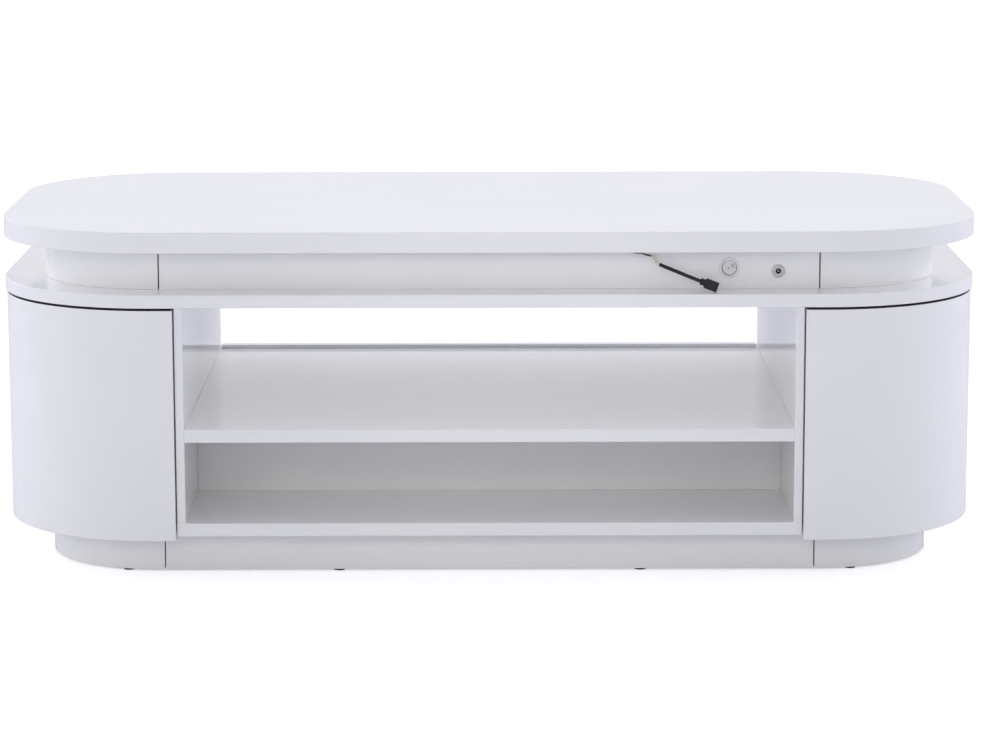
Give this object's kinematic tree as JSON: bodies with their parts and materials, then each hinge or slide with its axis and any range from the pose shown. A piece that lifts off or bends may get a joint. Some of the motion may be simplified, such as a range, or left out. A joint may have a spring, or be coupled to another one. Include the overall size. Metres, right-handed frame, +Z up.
{
  "type": "lift top coffee table",
  "caption": "Round-cornered coffee table with a top that lifts forward, an open bay, a niche, curved corner doors, a rear drawer and an underside light strip.",
  "frame": {"origin": "on the floor below the middle of the table top", "axes": "+X along the length, -Y towards the front with the switch, +Z up"},
  "size_m": [1.2, 0.6, 0.42],
  "materials": {
    "white_lacquer": "MDF under high-gloss white lacquer",
    "white_melamine": "MDF with a satin white melamine face",
    "black_steel": "satin black powder coat on steel",
    "zinc_steel": "bright zinc plate",
    "spring_steel": "oil-tempered spring wire",
    "nylon": "natural nylon",
    "grey_plastic": "grey moulded plastic",
    "clear_rubber": "soft clear pads",
    "white_plastic": "glossy white moulded plastic",
    "jack_metal": "nickel plate",
    "silicone": "milky silicone",
    "wire": "brown and white PVC insulation",
    "sleeve": "whitish shrunk sleeve",
    "black_pvc": "black PVC and moulded black plastic"
  },
  "bodies": {
    "carcass": {"base_pivot_pins": "zinc_steel", "base_rail_screws": "zinc_steel", "base_rails": "black_steel", "bottom_board": "white_lacquer", "bottom_pivots": "zinc_steel", "deck_plate": "white_lacquer", "drawer_rails": "zinc_steel", "floor_glides": "grey_plastic", "latch_bodies": "grey_plastic", "led_connector": "black_pvc", "led_controller": "white_plastic", "led_lead": "black_pvc", "led_sleeve": "sleeve", "led_strip": "silicone", "led_wires": "wire", "left_cabinet_back": "white_melamine", "left_cabinet_shelf": "white_melamine", "left_divider": "white_lacquer", "left_lift_spring": "spring_steel", "left_rear_panel": "white_lacquer", "neck_front_panel": "white_lacquer", "neck_left_end": "white_lacquer", "neck_rear_panel": "white_lacquer", "neck_right_end": "white_lacquer", "niche_back_panel": "white_lacquer", "plinth_front": "white_lacquer", "plinth_left_end": "white_lacquer", "plinth_rear": "white_lacquer", "plinth_right_end": "white_lacquer", "power_jack": "jack_metal", "right_cabinet_back": "white_melamine", "right_cabinet_shelf": "white_melamine", "right_divider": "white_lacquer", "right_lift_spring": "spring_steel", "right_rear_panel": "white_lacquer", "shelf": "white_lacquer", "shelf_pins": "zinc_steel", "switch_bezel": "white_plastic", "top_bumpers": "clear_rubber", "top_pivots": "zinc_steel"},
    "rear_arm_frame": {"rear_arms": "black_steel", "cross_tube": "black_steel"},
    "front_arm_pair": {"front_arms": "black_steel"},
    "lifting_top": {"table_top": "white_lacquer", "top_rails": "black_steel", "top_pivot_pins": "zinc_steel", "top_rail_screws": "zinc_steel"},
    "left_door_leaf": {"left_door": "white_lacquer", "left_door_bushes": "nylon"},
    "right_door_leaf": {"right_door": "white_lacquer", "right_door_bushes": "nylon"},
    "rear_drawer": {"drawer_front": "white_lacquer", "drawer_sides": "white_melamine", "drawer_back": "white_melamine", "drawer_bottom": "white_melamine", "drawer_runners": "zinc_steel"},
    "left_plunger": {"left_latch_plunger": "grey_plastic"},
    "right_plunger": {"right_latch_plunger": "grey_plastic"},
    "rocker": {"switch_rocker": "white_plastic"}
  },
  "joints": [
    {"name": "lift", "type": "hinge", "parent": "carcass", "child": "rear_arm_frame", "pos_m": [0, -0.01195, 0.359], "axis": [1, 0, 0], "range_deg": [0, 119], "stiffness_Nm_per_rad": 6, "springref_deg": 119.18, "deforming": ["left_lift_spring", "right_lift_spring"]},
    {"name": "front_arm_swing", "type": "hinge", "parent": "carcass", "child": "front_arm_pair", "pos_m": [0, -0.07194, 0.359], "axis": [1, 0, 0], "range_deg": [0, 119]},
    {"name": "top_level", "type": "hinge", "parent": "rear_arm_frame", "child": "lifting_top", "pos_m": [0, 0.217, 0.381], "axis": [1, 0, 0], "range_deg": [-119, 0]},
    {"name": "left_door_hinge", "type": "hinge", "parent": "carcass", "child": "left_door_leaf", "pos_m": [-0.59, -0.009, 0.19], "axis": [0, 0, -1], "range_deg": [0, 95]},
    {"name": "right_door_hinge", "type": "hinge", "parent": "carcass", "child": "right_door_leaf", "pos_m": [0.59, -0.009, 0.19], "axis": [0, 0, 1], "range_deg": [0, 95]},
    {"name": "drawer_slide", "type": "slide", "parent": "carcass", "child": "rear_drawer", "axis": [0, 1, 0], "range_m": [0, 0.26]},
    {"name": "left_latch_push", "type": "slide", "parent": "carcass", "child": "left_plunger", "axis": [0, 1, 0], "range_m": [0, 0.003], "stiffness_N_per_m": 400, "springref_m": -0.005},
    {"name": "right_latch_push", "type": "slide", "parent": "carcass", "child": "right_plunger", "axis": [0, 1, 0], "range_m": [0, 0.003], "stiffness_N_per_m": 400, "springref_m": -0.005},
    {"name": "switch_rock", "type": "hinge", "parent": "carcass", "child": "rocker", "pos_m": [0.288, -0.252, 0.37], "axis": [-0.5, 0, 0.866], "range_deg": [-20, 0]}
  ],
  "couplings": [
    {"joint": "front_arm_swing", "follows": "lift", "ratio": 1},
    {"joint": "top_level", "follows": "lift", "ratio": -1}
  ]
}
